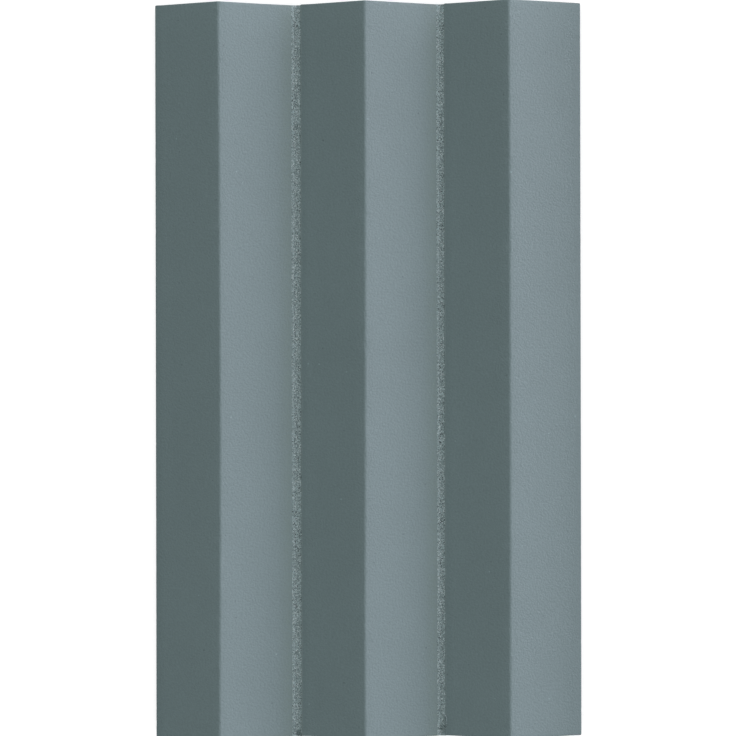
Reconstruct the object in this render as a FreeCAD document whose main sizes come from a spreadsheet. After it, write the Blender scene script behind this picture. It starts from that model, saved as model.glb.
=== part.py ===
import FreeCAD
import Part
import Sketcher
import os

# A mosaic sheet of three ceramic strips with a triangular top, laid side by side
# on a glass-fibre mesh, with the joints between them filled with sanded grout.
# Frame: the sheet lies on its back, relief up. Z is up, Y runs along the strips and
# X across them; the origin is under the middle of the sheet, on the mesh's underside.
# All lengths are millimetres.

SIZES = {
    # one strip
    "strip_length": 320.0,
    "strip_width": 59.75,
    "edge_thickness": 8.0,      # back to the long edges, where the slopes begin
    "ridge_rise": 12.0,         # long edges to the sharp ridge, before it is rounded
    "ridge_shift": 1.4,         # the ridge stands this far left of the strip's middle
    "ridge_radius": 2.0,
    "arris_radius": 0.7,        # rounding where a slope meets a side wall
    "end_radius": 0.5,          # rounding around both end faces
    "back_bevel": 0.6,          # bevel of the long edges of the back
    # keying grooves that run along a strip's back
    "key_width": 4.0,
    "key_depth": 0.8,
    "key_pitch": 10.0,
    "key_count": 5.0,
    # the strips side by side
    "left_gap": 3.7,
    "right_gap": 3.05,
    "strip_slip": 0.32,         # each strip sits this much further up than its left neighbour
    # grout
    "joint_drop": 0.25,         # long edge of a strip down to the grout at its wall
    "joint_dish": 0.45,         # hollow of the grout's top between the two walls
    "joint_setback": 0.2,       # grout's end face in from the strips' ends
    # backing mesh
    "yarn_thickness": 0.25,
    "yarn_width": 1.2,
    "yarn_pitch": 12.0,
    "mesh_margin": 3.0,         # cut edge of the mesh in from the sheet's edges
}

doc = FreeCAD.newDocument("MosaicSheet")
sheet = doc.addObject("Spreadsheet::Sheet", "Sizes")
for row, (alias, value) in enumerate(SIZES.items(), start=1):
    sheet.set(f"A{row}", alias.replace("_", " "))
    sheet.set(f"B{row}", str(value))
    sheet.setAlias(f"B{row}", alias)
doc.recompute()

# Sizes that follow from the ones above, written once for every feature that uses them.
SHEET_WIDTH = "(3 * Sizes.strip_width + Sizes.left_gap + Sizes.right_gap)"
LEFT_EDGE = f"(-{SHEET_WIDTH} / 2)"
STRIP_STEP = "(Sizes.strip_width + Sizes.left_gap)"
MESH_THICKNESS = "(2 * Sizes.yarn_thickness)"
MESH_WIDTH = f"({SHEET_WIDTH} - 2 * Sizes.mesh_margin)"
MESH_LENGTH = "(Sizes.strip_length - 2 * Sizes.mesh_margin)"
LONG_YARNS = f"floor({MESH_WIDTH} / Sizes.yarn_pitch)"
CROSS_YARNS = f"floor({MESH_LENGTH} / Sizes.yarn_pitch)"

ORIGIN, UPRIGHT = range(-1, -3, -1)     # a sketch's own origin point and its upright axis
START, END = range(1, 3)                # which point of an edge a constraint takes
TINY = 1e-4


def size(alias):
    return float(sheet.get(alias))


def origin_feature(body, role):
    return next(item for item in body.Origin.OriginFeatures if item.Role == role)


def new_body(name):
    body = doc.addObject("PartDesign::Body", name)
    body.Label = name
    return body


def new_sketch(body, plane, name):
    sketch = body.newObject("Sketcher::SketchObject", name)
    sketch.AttachmentSupport = (origin_feature(body, plane), "")
    sketch.MapMode = "FlatFace"
    return sketch


def draw_outline(sketch, points):
    """Closed outline of straight edges, joined end to end; edge i starts at point i."""
    count = len(points)
    corners = [FreeCAD.Vector(across, up, 0) for across, up in points]
    for i in range(count):
        sketch.addGeometry(Part.LineSegment(corners[i], corners[(i + 1) % count]))
    for i in range(count):
        sketch.addConstraint(Sketcher.Constraint("Coincident", i, END, (i + 1) % count, START))


def dimension(sketch, name, expression, kind, *where):
    """Named dimension of a sketch, bound to the sheet."""
    index = sketch.addConstraint(Sketcher.Constraint(kind, *where, 1.0))
    sketch.renameConstraint(index, name)
    sketch.setExpression(f"Constraints.{name}", expression)


def bind(item, **expressions):
    for name, expression in expressions.items():
        item.setExpression(name, expression)


def place(body, across="0", along="0", up="0"):
    body.setExpression("Placement.Base.x", across)
    body.setExpression("Placement.Base.y", along)
    body.setExpression("Placement.Base.z", up)


def pad(body, name, sketch, length, symmetric=False):
    feature = body.newObject("PartDesign::Pad", name)
    feature.Profile = sketch
    if symmetric:
        feature.SideType = "Symmetric"
    bind(feature, Length=length)
    return feature


def edges_where(feature, test):
    return [f"Edge{i}" for i, edge in enumerate(feature.Shape.Edges, start=1) if test(edge)]


def round_edges(body, name, base, test, radius):
    doc.recompute()
    feature = body.newObject("PartDesign::Fillet", name)
    feature.Base = (base, edges_where(base, test))
    bind(feature, Radius=radius)
    return feature


def repeat(body, name, original, axis, count, pitch):
    feature = body.newObject("PartDesign::LinearPattern", name)
    feature.Originals = [original]
    feature.Direction = (origin_feature(body, axis), [""])
    feature.Mode = "Spacing"
    bind(feature, Offset=pitch, Occurrences=count)
    body.Tip = feature
    return feature


def at_height(height):
    """Test for edges that lie wholly at one height."""
    def test(edge):
        box = edge.BoundBox
        return abs(box.ZMin - height) < TINY and abs(box.ZMax - height) < TINY
    return test


def round_the_end(edge):
    """Test for the edges of the two end faces, without the straight ones of the back."""
    box = edge.BoundBox
    on_end_face = box.YLength < TINY and abs(abs(box.YMin) - size("strip_length") / 2) < TINY
    return on_end_face and box.ZMax > size("back_bevel") + TINY


def make_strip(name, column, across, along):
    """Section with a flat back and a ridged top, run the length of the strip."""
    body = new_body(name)

    half = size("strip_width") / 2
    bevel = size("back_bevel")
    edge = size("edge_thickness")
    ridge = edge + size("ridge_rise")
    section = new_sketch(body, "XZ_Plane", f"Section{column}")
    back, right_bevel, right_wall, right_slope, left_slope, left_wall, left_bevel = range(7)
    draw_outline(section, [
        (-half + bevel, 0), (half - bevel, 0), (half, bevel), (half, edge),
        (-size("ridge_shift"), ridge), (-half, edge), (-half, bevel)])
    section.addConstraint(Sketcher.Constraint("Horizontal", back))
    section.addConstraint(Sketcher.Constraint("Vertical", right_wall))
    section.addConstraint(Sketcher.Constraint("Vertical", left_wall))
    section.addConstraint(Sketcher.Constraint("Symmetric", back, START, back, END, ORIGIN, START))
    section.addConstraint(
        Sketcher.Constraint("Symmetric", left_wall, END, right_wall, START, UPRIGHT))
    dimension(section, "width", "Sizes.strip_width", "DistanceX", left_wall, END, right_wall, START)
    dimension(section, "bevel_across", "Sizes.back_bevel", "DistanceX",
              right_bevel, START, right_bevel, END)
    dimension(section, "bevel_up", "Sizes.back_bevel", "DistanceY", ORIGIN, START, right_bevel, END)
    dimension(section, "right_edge", "Sizes.edge_thickness", "DistanceY",
              ORIGIN, START, right_wall, END)
    dimension(section, "left_edge", "Sizes.edge_thickness", "DistanceY",
              ORIGIN, START, left_slope, END)
    dimension(section, "ridge_up", "Sizes.edge_thickness + Sizes.ridge_rise", "DistanceY",
              ORIGIN, START, right_slope, END)
    dimension(section, "ridge_across", "Sizes.ridge_shift", "DistanceX",
              right_slope, END, ORIGIN, START)
    blank = pad(body, f"Blank{column}", section, "Sizes.strip_length", symmetric=True)

    ridged = round_edges(body, f"Ridge{column}", blank, at_height(ridge), "Sizes.ridge_radius")
    arrised = round_edges(body, f"Arrises{column}", ridged, at_height(edge), "Sizes.arris_radius")
    ended = round_edges(body, f"Ends{column}", arrised, round_the_end, "Sizes.end_radius")
    doc.recompute()

    groove = new_sketch(body, "XZ_Plane", f"Groove{column}")
    mouth = size("key_width") / 2
    deep = size("key_depth")
    first = -(size("key_count") - 1) / 2 * size("key_pitch")
    draw_outline(groove, [
        (first - mouth, 0), (first + mouth, 0),
        (first + mouth - deep, deep), (first - mouth + deep, deep)])
    groove.addConstraint(Sketcher.Constraint("Horizontal", 2))
    groove.addConstraint(Sketcher.Constraint("PointOnObject", 0, START, ORIGIN))
    groove.addConstraint(Sketcher.Constraint("PointOnObject", 0, END, ORIGIN))
    dimension(groove, "mouth", "Sizes.key_width", "DistanceX", 0, START, 0, END)
    dimension(groove, "depth", "Sizes.key_depth", "DistanceY", 1, START, 1, END)
    dimension(groove, "right_flank", "Sizes.key_depth", "DistanceX", 1, END, 1, START)
    dimension(groove, "left_flank", "Sizes.key_depth", "DistanceX", 3, END, 3, START)
    dimension(groove, "first", "(Sizes.key_count - 1) / 2 * Sizes.key_pitch + Sizes.key_width / 2",
              "DistanceX", 0, START, ORIGIN, START)
    cut = body.newObject("PartDesign::Pocket", f"Key{column}")
    cut.Profile = groove
    cut.Type = "ThroughAll"
    cut.SideType = "Symmetric"
    doc.recompute()
    repeat(body, f"Keys{column}", cut, "X_Axis", "Sizes.key_count", "Sizes.key_pitch")
    place(body, across, along, MESH_THICKNESS)
    return body


def make_joint(name, column, gap, across, along):
    """Grout cast between two side walls and into the bevels under them, dished on top."""
    body = new_body(name)

    half = size(gap) / 2
    bevel = size("back_bevel")
    top = size("edge_thickness") - size("joint_drop")
    dish = size("joint_dish")
    section = new_sketch(body, "XZ_Plane", f"JointSection{column}")
    base, right_flare, right_wall, lid, left_wall, left_flare = range(6)
    draw_outline(section, [
        (-half - bevel, 0), (half + bevel, 0), (half, bevel),
        (half, top), (-half, top), (-half, bevel)])
    section.addConstraint(Sketcher.Constraint("Horizontal", base))
    section.addConstraint(Sketcher.Constraint("Vertical", right_wall))
    section.addConstraint(Sketcher.Constraint("Symmetric", base, START, base, END, ORIGIN, START))
    section.addConstraint(
        Sketcher.Constraint("Symmetric", left_wall, END, right_wall, START, UPRIGHT))
    section.addConstraint(
        Sketcher.Constraint("Symmetric", left_wall, START, right_wall, END, UPRIGHT))
    dimension(section, "width", f"Sizes.{gap}", "DistanceX", left_wall, END, right_wall, START)
    dimension(section, "flare_across", "Sizes.back_bevel", "DistanceX",
              right_flare, END, right_flare, START)
    dimension(section, "flare_up", "Sizes.back_bevel", "DistanceY", ORIGIN, START, right_flare, END)
    dimension(section, "top", "Sizes.edge_thickness - Sizes.joint_drop", "DistanceY",
              ORIGIN, START, right_wall, END)
    # the straight lid only closes the block; the dish is scooped out of it next
    block = pad(body, f"Block{column}", section,
                "Sizes.strip_length - 2 * Sizes.joint_setback", symmetric=True)
    doc.recompute()

    hollow = new_sketch(body, "XZ_Plane", f"Dish{column}")
    corner = FreeCAD.Vector(half, top, 0)
    bottom = FreeCAD.Vector(0, top - dish, 0)
    other = FreeCAD.Vector(-half, top, 0)
    hollow.addGeometry(Part.LineSegment(other, corner))
    hollow.addGeometry(Part.Arc(other, bottom, corner))
    arc = hollow.Geometry[1]
    low_end = START if arc.StartPoint.x < 0 else END
    high_end = END if low_end == START else START
    hollow.addConstraint(Sketcher.Constraint("Coincident", 0, START, 1, low_end))
    hollow.addConstraint(Sketcher.Constraint("Coincident", 0, END, 1, high_end))
    hollow.addConstraint(Sketcher.Constraint("Symmetric", 0, START, 0, END, UPRIGHT))
    dimension(hollow, "span", f"Sizes.{gap}", "DistanceX", 0, START, 0, END)
    dimension(hollow, "top", "Sizes.edge_thickness - Sizes.joint_drop", "DistanceY",
              ORIGIN, START, 0, END)
    dimension(hollow, "sweep", f"(Sizes.{gap}^2 / 4 + Sizes.joint_dish^2) / (2 * Sizes.joint_dish)",
              "Radius", 1)
    scoop = body.newObject("PartDesign::Pocket", f"Scoop{column}")
    scoop.Profile = hollow
    scoop.Type = "ThroughAll"
    scoop.SideType = "Symmetric"
    place(body, across, along, MESH_THICKNESS)
    return body


def make_yarn(body, name, layer, across, along, width, length):
    """One flat yarn in its layer, its near left corner at the given place in the sheet."""
    outline = new_sketch(body, "XY_Plane", f"{name}Outline")
    outline.setExpression("AttachmentOffset.Base.z", f"{layer} * Sizes.yarn_thickness")
    draw_outline(outline, [(-2, -2), (-1, -2), (-1, -1), (-2, -1)])
    for line, kind in enumerate(["Horizontal", "Vertical", "Horizontal", "Vertical"]):
        outline.addConstraint(Sketcher.Constraint(kind, line))
    dimension(outline, "width", width, "DistanceX", 0, START, 0, END)
    dimension(outline, "length", length, "DistanceY", 1, START, 1, END)
    dimension(outline, "across", across, "DistanceX", 0, START, ORIGIN, START)
    dimension(outline, "along", along, "DistanceY", 0, START, ORIGIN, START)
    return pad(body, name, outline, "Sizes.yarn_thickness")


def make_mesh(name):
    """A layer of flat yarns each way, bonded where they cross; the cross yarns hold the backs."""
    body = new_body(name)
    cross = make_yarn(
        body, "CrossYarn", layer=1,
        across=f"{MESH_WIDTH} / 2",
        along=f"(({CROSS_YARNS} - 1) * Sizes.yarn_pitch + Sizes.yarn_width) / 2",
        width=MESH_WIDTH, length="Sizes.yarn_width")
    doc.recompute()
    lengthwise = make_yarn(
        body, "LongYarn", layer=0,
        across=f"(({LONG_YARNS} - 1) * Sizes.yarn_pitch + Sizes.yarn_width) / 2",
        along=f"{MESH_LENGTH} / 2",
        width="Sizes.yarn_width", length=MESH_LENGTH)
    doc.recompute()
    repeat(body, "LongYarns", lengthwise, "X_Axis", LONG_YARNS, "Sizes.yarn_pitch")
    doc.recompute()
    repeat(body, "CrossYarns", cross, "Y_Axis", CROSS_YARNS, "Sizes.yarn_pitch")
    return body


half_strip = "Sizes.strip_width / 2"
bodies = [
    make_strip("strip_left", 1, f"{LEFT_EDGE} + {half_strip}", "-Sizes.strip_slip"),
    make_strip("strip_middle", 2, f"{LEFT_EDGE} + {STRIP_STEP} + {half_strip}", "0"),
    make_strip("strip_right", 3, f"-{LEFT_EDGE} - {half_strip}", "Sizes.strip_slip"),
    make_joint("joint_left", 1, "left_gap",
               f"{LEFT_EDGE} + Sizes.strip_width + Sizes.left_gap / 2", "-Sizes.strip_slip / 2"),
    make_joint("joint_right", 2, "right_gap",
               f"-{LEFT_EDGE} - Sizes.strip_width - Sizes.right_gap / 2", "Sizes.strip_slip / 2"),
    make_mesh("backing_mesh"),
]
doc.recompute()

for item in doc.Objects:
    if "Invalid" in item.State or "Error" in item.State:
        raise RuntimeError(f"{item.Label} did not compute: {item.State}")
for body in bodies:
    shape = body.Shape
    if shape.isNull() or not shape.isValid() or len(shape.Solids) != 1:
        raise RuntimeError(f"{body.Label} is not one valid solid")

os.makedirs("parts", exist_ok=True)
for body in bodies:
    box = body.Shape.BoundBox
    print(f"{body.Label}: {body.Shape.Volume:.1f} mm3, "
          f"x {box.XMin:.3f} to {box.XMax:.3f}, y {box.YMin:.3f} to {box.YMax:.3f}, "
          f"z {box.ZMin:.3f} to {box.ZMax:.3f}")
    body.Shape.exportStep(f"parts/{body.Label}.step")
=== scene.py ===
import math

import bpy
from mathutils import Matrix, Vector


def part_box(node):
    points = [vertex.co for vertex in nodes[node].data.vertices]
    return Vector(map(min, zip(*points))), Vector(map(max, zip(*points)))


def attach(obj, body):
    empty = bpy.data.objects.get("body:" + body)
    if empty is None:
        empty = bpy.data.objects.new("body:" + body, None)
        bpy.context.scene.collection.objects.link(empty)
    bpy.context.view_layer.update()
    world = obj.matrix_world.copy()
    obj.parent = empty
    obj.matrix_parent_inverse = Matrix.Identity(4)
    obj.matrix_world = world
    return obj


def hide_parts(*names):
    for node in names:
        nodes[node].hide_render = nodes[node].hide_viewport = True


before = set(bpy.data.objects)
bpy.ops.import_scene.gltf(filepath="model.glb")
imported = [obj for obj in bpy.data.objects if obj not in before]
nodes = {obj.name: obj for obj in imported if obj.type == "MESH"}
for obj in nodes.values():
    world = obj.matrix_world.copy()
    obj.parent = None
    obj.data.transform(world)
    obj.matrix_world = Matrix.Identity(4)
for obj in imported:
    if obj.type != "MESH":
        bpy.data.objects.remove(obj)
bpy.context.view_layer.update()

MM = 0.001

# One strip, up from its back and across from its middle

EDGE_HEIGHT = 8.0 * MM          # long edges, where the slopes begin
RIDGE_HEIGHT = 20.0 * MM        # sharp ridge, before it is rounded
RIDGE_PLACE = -1.4 * MM
RIDGE_SETBACK = 0.805 * MM      # a rounding of 2 mm begins this far down each slope
ARRIS_SETBACK = 0.473 * MM      # and one of 0.7 mm this far from a long edge
END_RADIUS = 0.5 * MM
BACK_BEVEL = 0.6 * MM
KEY_PLACES = (-20.0 * MM, -10.0 * MM, 0.0, 10.0 * MM, 20.0 * MM)
KEY_MOUTH = 2.0 * MM            # half a key's width at the back
KEY_FLOOR = 1.2 * MM            # and at its bottom
KEY_DEPTH = 0.8 * MM
# lengthwise cuts in the slopes, so that they can be uneven
LEFT_SLOPE_CUTS = [(-26 + 4 * step) * MM for step in range(6)]
RIGHT_SLOPE_CUTS = [(2 + 4 * step) * MM for step in range(7)]
NEAR = 0.01 * MM                # points closer than this count as one height or place

# What pressing and firing left uneven

STRIPS = ("strip_left", "strip_middle", "strip_right")
# how far each strip's ridge wanders from its line, at even steps from its near end, in mm
RIDGE_WANDER = {
    "strip_left": (0.04, 0.28, 0.49, 0.49, 0.34, 0.14, -0.18),
    "strip_middle": (-0.40, -0.52, -0.30, -0.16, -0.10, -0.10, -0.22),
    "strip_right": (-0.48, -0.42, -0.34, -0.36, -0.36, -0.46, -0.68)}
# how much longer each strip came out of the kiln, at its near end, in mm
STRIP_EXCESS = {"strip_left": 0.0, "strip_middle": 0.2, "strip_right": 0.32}
# pale specks on the strips: place seen from above, and radius, in mm
PALE_SPECKS = (((-57.0, 86.1), 0.35), ((-54.4, 81.3), 0.30), ((61.9, 85.4), 0.40))

# The grout

JOINTS = (
    ("grout_left", "joint_left", "strip_left", "strip_middle"),
    ("grout_right", "joint_right", "strip_middle", "strip_right"))
# side walls that the grout lies against, on its left and on its right
WALLS_LEFT_OF_GROUT = [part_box(left)[1][0] for _, _, left, _ in JOINTS]
WALLS_RIGHT_OF_GROUT = [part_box(right)[0][0] for _, _, _, right in JOINTS]
GROUT_LAP = 0.45 * MM           # how far the grout reaches into the strips, unseen
WALL_STEPS = (0.5, 1.0, 1.5, 1.5, 1.5, 1.0)     # heights of the rows of faces below the top, in mm
# where a finger or a trowel touched it: place across, stretch along, move, reach and falloff, in mm
TOUCHES = {
    "joint_left": [
        (-31.0, (-159.2, -158.7), (0, 0, -1.6), 1.5, "SMOOTH")],    # pushed in at the near end
    "joint_right": [
        (32.8, (-151.3, -150.7), (0, 0, 0.40), 0.45, "SMOOTH"),     # far end of the smear's rim
        (33.4, (-156.2, -151.4), (0, 0, 0.50), 0.4, "SMOOTH"),      # the rim itself
        (32.3, (-156.0, -152.4), (0, 0, -0.40), 1.0, "SMOOTH"),     # hollow beside it
        (33.7, (-153.9, -153.4), (0.40, 0, 0.35), 3.2, "SPHERE"),   # smeared up the slope
        (31.9, (-157.8, -156.4), (0, 0, -1.1), 1.8, "SMOOTH")]}     # pushed in at the near end


# Shader maths


class Signal:
    """A value that varies over a surface. Python arithmetic on it adds Math nodes."""

    def __init__(self, finish, socket):
        self.finish = finish
        self.socket = socket

    def combine(self, operation, left, right):
        return self.finish.node("ShaderNodeMath", {"operation": operation}, {0: left, 1: right})

    def __add__(self, other):
        return self.combine("ADD", self, other)

    def __radd__(self, other):
        return self.combine("ADD", other, self)

    def __sub__(self, other):
        return self.combine("SUBTRACT", self, other)

    def __rsub__(self, other):
        return self.combine("SUBTRACT", other, self)

    def __mul__(self, other):
        return self.combine("MULTIPLY", self, other)

    def __rmul__(self, other):
        return self.combine("MULTIPLY", other, self)

    def __gt__(self, other):
        return self.combine("GREATER_THAN", self, other)

    def __lt__(self, other):
        return self.combine("LESS_THAN", self, other)


class Finish:
    """A procedural material around one Principled shader."""

    def __init__(self, name, **constants):
        self.material = bpy.data.materials.new(name)
        self.material.use_nodes = True
        self.tree = self.material.node_tree
        self.shader = self.tree.nodes["Principled BSDF"]
        for socket, value in constants.items():
            self.shader.inputs[socket.replace("_", " ")].default_value = value
        self.place = self.node("ShaderNodeTexCoord", output="Object")

    def node(self, kind, settings=None, inputs=None, output=0):
        node = self.tree.nodes.new(kind)
        for name, value in (settings or {}).items():
            setattr(node, name, value)
        for key, value in (inputs or {}).items():
            self.plug(node.inputs[key], value)
        return Signal(self, node.outputs[output])

    def plug(self, socket, value):
        if isinstance(value, Signal):
            self.tree.links.new(value.socket, socket)
        else:
            socket.default_value = value

    def set(self, **sockets):
        for name, value in sockets.items():
            self.plug(self.shader.inputs[name.replace("_", " ")], value)

    def axis(self, name):
        return self.node("ShaderNodeSeparateXYZ", inputs={0: self.place}, output=name)

    def noise(self, per_metre, detail=2.0, roughness=0.5):
        return self.node("ShaderNodeTexNoise",
                         inputs={"Vector": self.place, "Scale": per_metre, "Detail": detail,
                                 "Roughness": roughness})

    def grains(self, per_metre, output="Distance"):
        """Cells as of sand: how far the nearest grain is, or that grain's own random colour."""
        return self.node("ShaderNodeTexVoronoi",
                         inputs={"Vector": self.place, "Scale": per_metre}, output=output)

    def channel(self, colour, name):
        return self.node("ShaderNodeSeparateColor", inputs={0: colour}, output=name)

    def fade(self, value, start, end, low=0.0, high=1.0):
        """From low to high as the value goes from start to end."""
        return self.node("ShaderNodeMapRange", {"interpolation_type": "SMOOTHSTEP"},
                         {"Value": value, "From Min": start, "From Max": end,
                          "To Min": low, "To Max": high})

    def mix(self, factor, first, second):
        return self.node("ShaderNodeMix", {"data_type": "RGBA"}, {0: factor, 6: first, 7: second},
                         output=2)

    def shaded(self, colour, amount):
        """The colour times an amount around 1."""
        return self.node("ShaderNodeVectorMath", {"operation": "SCALE"},
                         {"Vector": colour, "Scale": amount})

    def bump(self, height, distance, under=None):
        inputs = {"Height": height, "Distance": distance, "Strength": 1.0}
        if under is not None:
            inputs["Normal"] = under
        return self.node("ShaderNodeBump", inputs=inputs)


# Materials


def matt_ceramic(name):
    """Grey-green fired body, matt, with a fine sandy grain, a few pale specks and darker dots of
    painted shade for pits, a patchy haze of cement left on the feet of the slopes beside the
    joints, tinted by painted light bounced from the facing slopes, and the far end painted paler
    where light falls on it."""
    finish = Finish(name, Specular_IOR_Level=0.35)
    across, along, up = (finish.axis(name) for name in "XYZ")

    cloud = finish.noise(18.0, detail=3.0)
    mottle = finish.noise(70.0)
    grain = finish.noise(1150.0, detail=1.5, roughness=0.6)
    lucky = finish.grains(420.0, output="Color")
    core = finish.grains(420.0) < 0.16
    speck = (finish.channel(lucky, "Red") > 0.992) * core
    # darker dots: painted shade of small pits, which have no relief of their own
    pit_shade = (finish.channel(lucky, "Green") > 0.98) * core
    from_above = finish.node("ShaderNodeVectorMath", {"operation": "MULTIPLY"},
                             {0: finish.place, 1: (1.0, 1.0, 0.0)})
    for (x, y), radius in PALE_SPECKS:
        apart = finish.node("ShaderNodeVectorMath", {"operation": "DISTANCE"},
                            {0: from_above, 1: (x * MM, y * MM, 0.0)}, output="Value")
        speck = speck + (apart < radius * MM)
    # painted light: the strips are paler over the last stretch of their far end, as where more
    # light falls on them
    painted_light_far_end = finish.fade(along, 138.0 * MM, 159.0 * MM)
    tone = (1.0 + (cloud - 0.5) * 0.08 + (mottle - 0.5) * 0.05 + (grain - 0.5) * 0.28
            + speck * 0.35 - pit_shade * 0.25 + painted_light_far_end * 0.045)

    smear = finish.noise(700.0, detail=3.0, roughness=0.7)
    # a patchy haze of cement on the feet of the slopes beside the joints; its yellow-green tint,
    # strongest towards each joint, is painted light bounced from the facing slope
    haze_and_bounce_tint = 0.0
    for wall in WALLS_LEFT_OF_GROUT:
        haze_and_bounce_tint = haze_and_bounce_tint + (across < wall) * finish.fade(across, wall - 7.5 * MM, wall - 1.0 * MM)
    haze_and_bounce_tint = haze_and_bounce_tint * finish.fade(smear, 0.30, 0.60) * (up > 7.6 * MM)
    wiped = 0.0
    for wall in WALLS_RIGHT_OF_GROUT:
        wiped = wiped + (across > wall - 0.1 * MM) * finish.fade(
            across, wall + 0.3 * MM, wall + 1.0 * MM, 1.0, 0.0)
    wiped = wiped * finish.fade(smear, 0.30, 0.55)

    body = finish.shaded((0.1190, 0.1700, 0.1747), tone)
    body = finish.mix(haze_and_bounce_tint * 0.28, body, (0.130, 0.178, 0.148, 1.0))
    body = finish.mix(wiped * 0.45, body, (0.185, 0.235, 0.235, 1.0))
    finish.set(Base_Color=body, Roughness=0.62 + (grain - 0.5) * 0.2 + haze_and_bounce_tint * 0.1)
    pores = finish.grains(900.0)
    finish.set(Normal=finish.bump(pores, 0.02 * MM, under=finish.bump(grain, 0.18 * MM)))
    return finish.material


def sanded_grout(name):
    """Hard cement with sand in it, pale and dark grains side by side, a painted highlight along the
    lip where it was smoothed against the strip on its left, and painted light towards the far end."""
    finish = Finish(name, Specular_IOR_Level=0.3)
    across, along = (finish.axis(name) for name in "XY")

    tint = finish.grains(3300.0, output="Color")
    chance = finish.channel(tint, "Red")
    pale = finish.channel(tint, "Green") > 0.86
    dark = finish.channel(tint, "Blue") > 0.86
    paste = finish.noise(3500.0, roughness=0.6)
    patch = finish.noise(140.0)
    # painted highlight: a paler band along the lip on the left, where light catches it
    lip_highlight = 0.0
    for wall in WALLS_LEFT_OF_GROUT:
        lip_highlight = lip_highlight + (across > wall - 1.0 * MM) * finish.fade(
            across, wall + 0.5 * MM, wall + 1.1 * MM, 1.0, 0.0)
    # painted light: the grout is paler towards the far end, where light enters the open end of the
    # joint
    grout_far_end_light = finish.fade(along, 148.0 * MM, 157.0 * MM)
    grain = (chance - 0.5) * 0.74 + (paste - 0.5) * 0.72 - dark * 0.60
    tone = (0.94 + grain * finish.fade(patch, 0.40, 0.60, 0.75, 1.10) + (patch - 0.5) * 0.15
            + grout_far_end_light * 0.08 + lip_highlight * 0.07)

    body = finish.shaded((0.165, 0.226, 0.229), tone)
    sand = finish.shaded((0.315, 0.380, 0.382), 0.8 + chance * 0.4)
    finish.set(Base_Color=finish.mix(pale, body, sand), Roughness=0.85 + (paste - 0.5) * 0.2)
    finish.set(Normal=finish.bump(paste, 0.12 * MM))
    return finish.material


def glass_yarn(name):
    """Coated glass-fibre yarns, off-white, with the grain of their filaments."""
    finish = Finish(name, Specular_IOR_Level=0.5)
    fibres = finish.noise(2400.0)
    cloud = finish.noise(60.0)
    body = finish.shaded((0.72, 0.73, 0.70), 0.92 + (fibres - 0.5) * 0.25 + (cloud - 0.5) * 0.15)
    finish.set(Base_Color=body, Roughness=0.5 + (fibres - 0.5) * 0.3)
    finish.set(Normal=finish.bump(fibres, 0.06 * MM))
    return finish.material


def paper_floor(name):
    """White paper, bright enough by itself that shade on it stays pale, and more so far off."""
    finish = Finish(name, Roughness=0.95, Specular_IOR_Level=0.1, Emission_Strength=1.0)
    cloud = finish.noise(2.0)
    away = finish.node("ShaderNodeVectorMath", {"operation": "LENGTH"}, {0: finish.place},
                       output="Value")
    glow = finish.fade(away, 0.5, 3.0, 0.56, 1.0)
    finish.set(Base_Color=finish.shaded((0.80, 0.80, 0.80), 1.0 + (cloud - 0.5) * 0.01),
               Emission_Color=finish.shaded((1.0, 1.0, 1.0), glow))
    return finish.material


# Modelling by hand


def deselect_everything():
    if bpy.context.mode != "OBJECT":
        bpy.ops.object.mode_set(mode="OBJECT")
    bpy.ops.object.select_all(action="DESELECT")


def apply_place(piece):
    """Leaves the piece's object at the origin, with its place and size in its mesh."""
    piece.select_set(True)
    bpy.ops.object.transform_apply(location=True, rotation=True, scale=True)


def pick(piece, mode, test):
    """In edit mode, selects the vertices, edges or faces whose corners all pass the test."""
    bpy.ops.mesh.select_mode(type=mode)
    bpy.ops.mesh.select_all(action="DESELECT")
    bpy.ops.object.mode_set(mode="OBJECT")
    mesh = piece.data
    for item in {"VERT": mesh.vertices, "EDGE": mesh.edges, "FACE": mesh.polygons}[mode]:
        corners = [item] if mode == "VERT" else [mesh.vertices[i] for i in item.vertices]
        item.select = all(test(corner.co) for corner in corners)
    bpy.ops.object.mode_set(mode="EDIT")


def push(piece, test, move, reach, falloff="SMOOTH"):
    """In edit mode, moves the vertices that pass the test, and those within reach with them."""
    pick(piece, "VERT", test)
    bpy.ops.transform.translate(
        value=[step * MM for step in move], use_proportional_edit=True,
        proportional_edit_falloff=falloff, proportional_size=reach * MM)


def mark(piece, name, test):
    """A vertex group of the vertices that pass the test."""
    bpy.ops.object.mode_set(mode="EDIT")
    pick(piece, "VERT", test)
    bpy.ops.object.vertex_group_add()
    bpy.ops.object.vertex_group_assign()
    piece.vertex_groups[-1].name = name
    bpy.ops.object.mode_set(mode="OBJECT")


def roughen(piece, kind, size, strength, direction, group, middle=0.5, **settings):
    """Relief from a procedural pattern, added into the mesh. Size and strength are in mm."""
    texture = bpy.data.textures.new(f"{piece.name}_{kind.lower()}", kind)
    texture.noise_scale = size * MM
    for name, value in settings.items():
        setattr(texture, name, value)
    relief = piece.modifiers.new("relief", "DISPLACE")
    relief.texture = texture
    relief.texture_coords = "LOCAL"
    relief.direction = direction
    relief.strength = strength * MM
    relief.mid_level = middle
    relief.vertex_group = group
    bpy.ops.object.modifier_apply(modifier=relief.name)


def nick(piece, size, depth, group):
    """Small chips in the vertices of a group. Size and depth are in mm."""
    roughen(piece, "CLOUDS", size, -depth, "NORMAL", group, middle=0.0,
            noise_depth=1, contrast=5.0, intensity=0.0, use_clamp=True)


def take_place_of(piece, node, material):
    """Finishes a new piece and has it stand for a node of the frame."""
    piece.data.materials.clear()
    piece.data.materials.append(material)
    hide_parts(node)
    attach(piece, "root")
    return piece


# Strips


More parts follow.
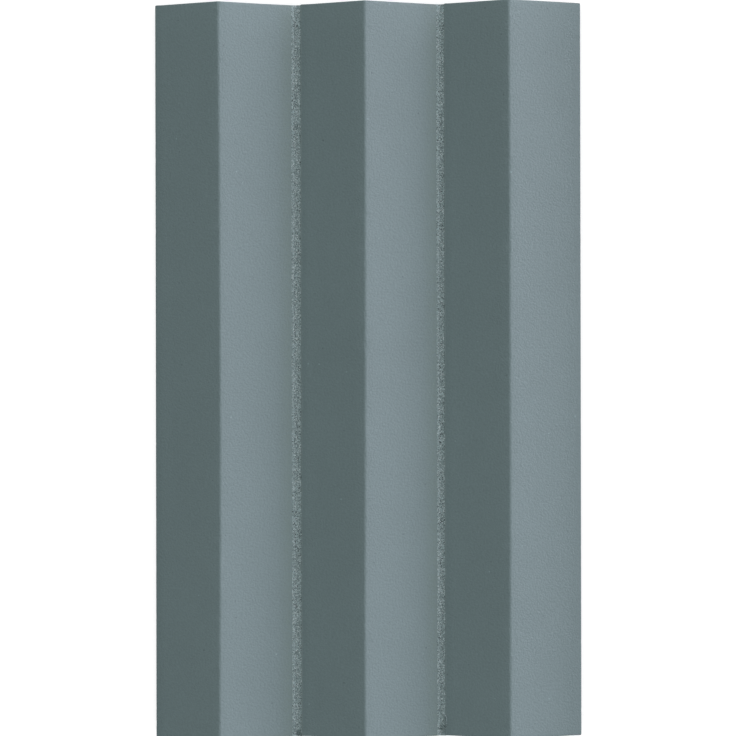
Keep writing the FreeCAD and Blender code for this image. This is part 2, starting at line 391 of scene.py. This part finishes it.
def roofed_block(width, base, end):
    """A block whose top is cut to two slopes, left in edit mode."""
    edge, ridge = base + EDGE_HEIGHT, base + RIDGE_HEIGHT
    spare = 2.0 * MM
    deselect_everything()
    bpy.ops.mesh.primitive_cube_add(size=1.0, location=(0, 0, (base + ridge) / 2 + spare / 2))
    block = bpy.context.object
    block.scale = (width, 2 * end, ridge - base + spare)
    apply_place(block)
    bpy.ops.object.mode_set(mode="EDIT")
    for side in (-1, 1):
        bpy.ops.mesh.select_all(action="SELECT")
        bpy.ops.mesh.bisect(
            plane_co=(RIDGE_PLACE, 0, ridge),
            plane_no=(side * (ridge - edge), 0, width / 2 - side * RIDGE_PLACE),
            use_fill=True, clear_outer=True)
    return block


def cut_faces(piece, test, places):
    """Cuts the faces that pass the test straight across X at each of the places."""
    for place in places:
        pick(piece, "FACE", test)
        bpy.ops.mesh.bisect(plane_co=(place, 0, 0), plane_no=(1, 0, 0))


def round_edge(strip, x, z, setback, segments):
    """Rounds the strip's lengthwise edge at x and z."""
    pick(strip, "EDGE", lambda p: abs(p.x - x) < NEAR and abs(p.z - z) < NEAR)
    bpy.ops.mesh.bevel(offset=setback, offset_type="OFFSET", segments=segments, affect="EDGES")


def round_end(strip, test):
    """Draws an end face out in three insets that follow a quarter round."""
    pick(strip, "FACE", test)
    turned = [math.radians(angle) for angle in (0, 30, 60, 90)]
    for before, after in zip(turned, turned[1:]):
        bpy.ops.mesh.inset(thickness=(math.cos(before) - math.cos(after)) * END_RADIUS,
                           depth=(math.sin(after) - math.sin(before)) * END_RADIUS)


def divide_lengthwise(strip, cuts):
    """Divides the long edges by cross cuts, so that the strip can be bowed and roughened."""
    bpy.ops.mesh.select_mode(type="EDGE")
    bpy.ops.mesh.select_all(action="DESELECT")
    bpy.ops.object.mode_set(mode="OBJECT")
    points = strip.data.vertices
    for rail in strip.data.edges:
        first, last = (points[i].co for i in rail.vertices)
        rail.select = abs(first.y - last.y) > 10.0 * MM
    bpy.ops.object.mode_set(mode="EDIT")
    bpy.ops.mesh.subdivide(number_cuts=cuts)


def model_strip(node):
    """One strip at the middle of the frame, as large as its node: roof, bevelled and keyed back,
    rounded ridge, arrises and ends."""
    low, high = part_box(node)
    width, length = high[0] - low[0], high[1] - low[1]
    half, base = width / 2, low[2]
    end = length / 2 - END_RADIUS
    edge, ridge = base + EDGE_HEIGHT, base + RIDGE_HEIGHT
    strip = roofed_block(width, base, end)

    pick(strip, "EDGE", lambda p: abs(p.z - base) < NEAR and abs(abs(p.x) - half) < NEAR)
    bpy.ops.mesh.bevel(offset=BACK_BEVEL, offset_type="OFFSET", segments=1, affect="EDGES")
    cut_faces(strip, lambda p: abs(p.z - base) < NEAR,
              [place + side * reach for place in KEY_PLACES
               for side in (-1, 1) for reach in (KEY_MOUTH, KEY_FLOOR)])
    pick(strip, "VERT", lambda p: abs(p.z - base) < NEAR and any(
        abs(abs(p.x - place) - KEY_FLOOR) < NEAR for place in KEY_PLACES))
    bpy.ops.transform.translate(value=(0, 0, KEY_DEPTH))

    cut_faces(strip, lambda p: p.z > edge - NEAR and p.x < RIDGE_PLACE + NEAR, LEFT_SLOPE_CUTS)
    cut_faces(strip, lambda p: p.z > edge - NEAR and p.x > RIDGE_PLACE - NEAR, RIGHT_SLOPE_CUTS)
    round_edge(strip, RIDGE_PLACE, ridge, RIDGE_SETBACK, 6)
    for side in (-1, 1):
        round_edge(strip, side * half, edge, ARRIS_SETBACK, 4)
    for side in (-1, 1):
        round_end(strip, lambda p: side * p.y > end - NEAR)

    divide_lengthwise(strip, 15)
    divide_lengthwise(strip, 19)
    bpy.ops.object.mode_set(mode="OBJECT")
    return strip


def bow_ridge(strip, wander, low, high):
    """Moves the ridge a little to the sides along its length, and the slopes with it, by a
    lattice whose lower layer stays where it is."""
    edge = low[2] + EDGE_HEIGHT
    cage = bpy.data.lattices.new("ridge_cage")
    cage.points_u, cage.points_v, cage.points_w = 2, len(wander), 2
    cage.interpolation_type_w = "KEY_LINEAR"
    cage.interpolation_type_v = "KEY_CARDINAL"
    holder = bpy.data.objects.new("ridge_cage", cage)
    bpy.context.scene.collection.objects.link(holder)
    holder.location = ((low[0] + high[0]) / 2, (low[1] + high[1]) / 2, (edge + high[2]) / 2)
    holder.scale = (high[0] - low[0], (high[1] - low[1]) / (len(wander) - 1), high[2] - edge)
    for step, shift in enumerate(wander):
        for side in (0, 1):
            point = cage.points[2 * len(wander) + 2 * step + side]
            point.co_deform.x += shift * MM / holder.scale.x
    bow = strip.modifiers.new("bow", "LATTICE")
    bow.object = holder
    bow.vertex_group = "slopes"
    bpy.context.view_layer.update()
    bpy.ops.object.modifier_apply(modifier=bow.name)
    bpy.data.objects.remove(holder)


def fire_strip(name, pattern, node):
    """A copy of the strip in its node's place, a little uneven from pressing and firing."""
    low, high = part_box(node)
    edge = low[2] + EDGE_HEIGHT
    excess = STRIP_EXCESS[node] * MM
    deselect_everything()
    strip = pattern.copy()
    strip.data = pattern.data.copy()
    strip.name = name
    bpy.context.scene.collection.objects.link(strip)
    bpy.context.view_layer.objects.active = strip
    strip.scale.y = 1 + excess / (high[1] - low[1])
    strip.location = ((low[0] + high[0]) / 2, (low[1] + high[1] - excess) / 2, 0)
    apply_place(strip)

    mark(strip, "slopes", lambda p: p.z > edge + 0.4 * MM)
    bow_ridge(strip, RIDGE_WANDER[node], low, high)
    mark(strip, "ridge", lambda p: p.z > edge + 11.1 * MM)
    mark(strip, "arrises", lambda p: edge - 0.6 * MM < p.z < edge + 0.5 * MM)
    roughen(strip, "CLOUDS", 45.0, 0.22, "NORMAL", "slopes", middle=1.0, noise_depth=1)
    roughen(strip, "CLOUDS", 12.0, 0.06, "X", "ridge", noise_depth=1)
    nick(strip, 2.0, 0.12, "ridge")
    nick(strip, 3.0, 0.05, "arrises")
    bpy.ops.object.shade_smooth_by_angle(angle=math.radians(35))
    return take_place_of(strip, node, ceramic)


# Joints


def cast_joint(name, node, left, right):
    """Grout between two strips: a fine grid pushed down beside a smooth lip on its left, wiped
    up on its right, with walls drawn down from its border, touched up where it was pressed in
    or smeared out, and the sand's relief on top."""
    low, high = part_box(node)
    wall_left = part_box(left)[1][0]
    wall_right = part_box(right)[0][0]
    near_end = sum(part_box(strip)[0][1] - STRIP_EXCESS[strip] * MM for strip in (left, right)) / 2
    width = wall_right - wall_left + 2 * GROUT_LAP
    length = high[1] - near_end
    centre = ((wall_left + wall_right) / 2, (near_end + high[1]) / 2, high[2] + 0.27 * MM)

    deselect_everything()
    bpy.ops.mesh.primitive_grid_add(
        x_subdivisions=2 * round(width / MM * 2.2),
        y_subdivisions=round(length / MM * (4.0)),
        size=1.0, location=centre)
    joint = bpy.context.object
    joint.name = name
    joint.scale = (width, length, 1.0)
    apply_place(joint)

    bpy.ops.object.mode_set(mode="EDIT")
    push(joint, lambda p: p.x > wall_left + 0.75 * MM, (0, 0, -0.42), 0.65)
    push(joint, lambda p: p.x > wall_right + 0.9 * GROUT_LAP, (0, 0, 0.36), 1.9, "LINEAR")
    bpy.ops.mesh.select_all(action="DESELECT")
    bpy.ops.mesh.select_mode(type="EDGE")
    bpy.ops.mesh.select_non_manifold()
    for drop in WALL_STEPS:
        bpy.ops.mesh.extrude_region_move(TRANSFORM_OT_translate={"value": (0, 0, -drop * MM)})
    bpy.ops.transform.resize(value=(1, 1, 0), center_override=(centre[0], centre[1], low[2]))
    bpy.ops.mesh.edge_face_add()
    for x, (start, stop), move, reach, falloff in TOUCHES[node]:
        push(joint, lambda p: abs(p.x - x * MM) < 0.15 * MM and start * MM < p.y < stop * MM
             and p.z > high[2] - 1.0 * MM, move, reach, falloff)
    bpy.ops.object.mode_set(mode="OBJECT")

    mark(joint, "top", lambda p: p.z > high[2] - 1.2 * MM and p.x > wall_left + 0.45 * MM)
    roughen(joint, "CLOUDS", 6.0, 0.30, "Z", "top", noise_depth=1)
    roughen(joint, "VORONOI", 0.6, -0.28, "Z", "top")
    roughen(joint, "CLOUDS", 0.5, 0.25, "Z", "top", noise_depth=2)
    bpy.ops.object.shade_smooth_by_angle(angle=math.radians(50))
    return take_place_of(joint, node, grout)


# Camera and light


def overhead_camera():
    """Straight above the sheet, as high as makes the ridges stand out as they do."""
    rise = 1.003                # above the strips' long edges
    field = 0.3220              # width that the view takes in at their height
    view = bpy.data.cameras.new("overhead")
    view.sensor_width = 36.0
    view.sensor_fit = "HORIZONTAL"
    view.lens = view.sensor_width * rise / field
    view.clip_start = 0.01
    view.clip_end = 50.0
    camera = bpy.data.objects.new("overhead", view)
    camera.location = (-0.13 * MM, 0.83 * MM, 8.5 * MM + rise)
    camera.rotation_euler = (0.0, 0.0, math.radians(-0.107))
    bpy.context.scene.collection.objects.link(camera)
    bpy.context.scene.camera = camera


def all_but(pieces, name):
    """A collection for light linking that stands for everything else."""
    rest = bpy.data.collections.new(name)
    for piece in pieces:
        rest.objects.link(piece)
    for entry in rest.collection_objects:
        entry.light_linking.link_state = "EXCLUDE"
    return rest


def soft_panel(name, place, turn, size, radiance, colour, lit=None, open_to=None):
    """A large soft panel; its power follows from the brightness of its surface. It can light
    some pieces only, and shine past a card."""
    light = bpy.data.lights.new(name, "AREA")
    light.shape = "RECTANGLE"
    light.size, light.size_y = size
    light.energy = radiance * math.pi * size[0] * size[1]
    light.color = colour
    panel = bpy.data.objects.new(name, light)
    panel.location = place
    panel.rotation_euler = [math.radians(angle) for angle in turn]
    panel.visible_camera = False
    bpy.context.scene.collection.objects.link(panel)
    if lit:
        panel.light_linking.receiver_collection = bpy.data.collections.new(f"{name}_lights")
        for piece in lit:
            panel.light_linking.receiver_collection.objects.link(piece)
    if open_to:
        panel.light_linking.blocker_collection = all_but([open_to], f"{name}_passes")


def low_card(name, across, top, length):
    """A card that isn't seen itself and keeps the lowest light off the last slope, as
    one more strip beside it would."""
    deselect_everything()
    bpy.ops.mesh.primitive_plane_add(size=1.0, location=(across, 0, top / 2),
                                     rotation=(0, math.radians(90), 0))
    card = bpy.context.object
    card.name = name
    card.scale = (top, length, 1.0)
    apply_place(card)
    card.visible_camera = card.visible_diffuse = card.visible_glossy = False
    return card


def pale_surroundings(strength, backdrop):
    """Dim even light from all round, behind a plain pale background."""
    world = bpy.data.worlds.new("surroundings")
    world.use_nodes = True
    tree = world.node_tree
    room = tree.nodes["Background"]
    room.inputs["Color"].default_value = (1.0, 1.0, 1.0, 1.0)
    room.inputs["Strength"].default_value = strength
    sky = tree.nodes.new("ShaderNodeBackground")
    sky.inputs["Color"].default_value = (1.0, 1.0, 1.0, 1.0)
    sky.inputs["Strength"].default_value = backdrop
    seen = tree.nodes.new("ShaderNodeLightPath")
    choose = tree.nodes.new("ShaderNodeMixShader")
    tree.links.new(seen.outputs["Is Camera Ray"], choose.inputs[0])
    tree.links.new(room.outputs[0], choose.inputs[1])
    tree.links.new(sky.outputs[0], choose.inputs[2])
    tree.links.new(choose.outputs[0], tree.nodes["World Output"].inputs["Surface"])
    bpy.context.scene.world = world


def lay_floor(name, size, below):
    """The floor that the sheet lies on, a hair below it."""
    deselect_everything()
    bpy.ops.mesh.primitive_plane_add(size=size, location=(0, 0, -below))
    floor = bpy.context.object
    floor.name = name
    apply_place(floor)
    floor.data.materials.append(paper_floor("floor_paper"))
    return floor


overhead_camera()
floor = lay_floor("floor", 12.0, 0.1 * MM)
pale_surroundings(0.03, 1.0)
bpy.context.scene.view_settings.view_transform = "Standard"

# The sheet

ceramic = matt_ceramic("strip_ceramic")
grout = sanded_grout("joint_grout")
yarn = glass_yarn("mesh_yarn")

pattern = model_strip("strip_left")
sheet = [fire_strip(f"fired_{node}", pattern, node) for node in STRIPS]
bpy.data.objects.remove(pattern)
sheet.extend(cast_joint(*joint) for joint in JOINTS)
nodes["backing_mesh"].data.materials.clear()
nodes["backing_mesh"].data.materials.append(yarn)
sheet.append(nodes["backing_mesh"])

# Light on the sheet

floor.light_linking.receiver_collection = all_but(sheet, "floor_lights")
card = low_card("low_card", 140.0 * MM, 22.5 * MM, 1.4)
soft_panel("ceiling_panel", (0.0, 0.0, 2.5), (0, 0, 0), (6.8, 8.0), 1.02, (1.0, 1.0, 1.0),
           open_to=card)
soft_panel("side_panel", (6.0, 7.4, 1.73), (0, 90, 0), (3.46, 16.8), 8.6, (1.10, 0.97, 1.07),
           lit=sheet)
